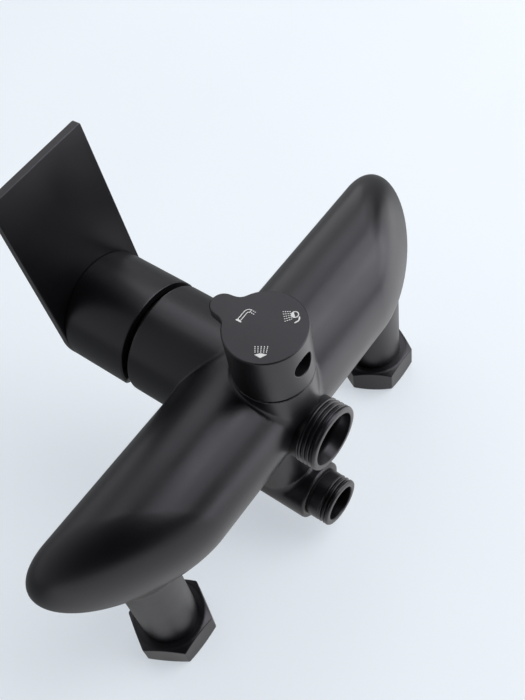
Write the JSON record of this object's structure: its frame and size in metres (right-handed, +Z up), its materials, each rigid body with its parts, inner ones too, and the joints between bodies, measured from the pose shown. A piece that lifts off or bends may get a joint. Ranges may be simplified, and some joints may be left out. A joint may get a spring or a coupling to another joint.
{
  "type": "wall mounted bath and shower mixer",
  "caption": "Exposed single-lever bath and shower mixer on a horizontal bar body, with a front diverter knob and threaded outlets for spout, hand shower hose and riser.",
  "frame": {"origin": "midway between the two wall inlets, on the plane of the union nuts' open ends", "axes": "+X along the bar body to the right as seen from the room, +Y towards the wall along the inlets, +Z up towards the lever"},
  "size_m": [0.2158, 0.1576, 0.1208],
  "materials": {
    "black_coating": "satin black coating on brass",
    "black_knob": "satin black coating on zinc",
    "brass": "machined",
    "seal_rubber": "matt",
    "stainless_steel": "turned",
    "ceramic": "lapped ceramic",
    "white_plastic": "moulded",
    "blue_plastic": "moulded",
    "black_plastic": "moulded",
    "grey_plastic": "moulded",
    "white_print": "pad print"
  },
  "bodies": {
    "fixed_body": {"body_casting": "black_coating", "inlet_tail_left": "brass", "inlet_tail_right": "brass", "union_washer_left": "seal_rubber", "union_washer_right": "seal_rubber", "strainer_left": "stainless_steel", "strainer_right": "stainless_steel", "hose_nipple": "black_coating", "riser_nipple": "black_coating", "nipple_rings": "seal_rubber", "cartridge_shell": "white_plastic", "cartridge_base": "white_plastic", "cartridge_seals": "seal_rubber", "fixed_disc": "ceramic", "cartridge_nut": "brass", "bonnet": "black_plastic", "diverter_bonnet": "brass", "diverter_fixed_disc": "ceramic", "diverter_seat": "black_plastic", "diverter_ring": "seal_rubber"},
    "left_nut": {"union_nut_left": "black_coating"},
    "right_nut": {"union_nut_right": "black_coating"},
    "lever_turn": {"cartridge_rotor": "blue_plastic", "pivot_pin": "stainless_steel"},
    "lever_lift": {"lever_stem": "stainless_steel", "handle_skirt": "black_coating", "lever_blade": "black_coating", "handle_screw": "stainless_steel", "handle_plug": "black_plastic"},
    "disc_slide": {"moving_disc": "ceramic", "disc_carrier": "blue_plastic"},
    "diverter": {"diverter_knob": "black_knob", "knob_marks": "white_print", "knob_screw": "stainless_steel", "knob_plug": "grey_plastic", "diverter_stem": "stainless_steel", "diverter_moving_disc": "ceramic"}
  },
  "joints": [
    {"name": "left_nut_spin", "type": "hinge", "parent": "fixed_body", "child": "left_nut", "pos_m": [-0.075, -0.00675, 0], "axis": [0, 1, 0], "continuous": true},
    {"name": "right_nut_spin", "type": "hinge", "parent": "fixed_body", "child": "right_nut", "pos_m": [0.075, -0.00675, 0], "axis": [0, 1, 0], "continuous": true},
    {"name": "temperature_swivel", "type": "hinge", "parent": "fixed_body", "child": "lever_turn", "pos_m": [0, -0.0802, 0.04], "axis": [0, 0, 1], "range_deg": [-45, 45]},
    {"name": "flow_lift", "type": "hinge", "parent": "lever_turn", "child": "lever_lift", "pos_m": [0, -0.0802, 0.04], "axis": [-1, 0, 0], "range_deg": [0, 22]},
    {"name": "disc_travel", "type": "slide", "parent": "lever_turn", "child": "disc_slide", "axis": [0, -1, 0], "range_m": [0, 0.0052]},
    {"name": "diverter_turn", "type": "hinge", "parent": "fixed_body", "child": "diverter", "pos_m": [0, -0.118, -0.0104], "axis": [0, 1, 0], "range_deg": [-120, 120]}
  ],
  "couplings": [
    {"joint": "disc_travel", "follows": "flow_lift", "m_per_rad": 0.0134}
  ]
}
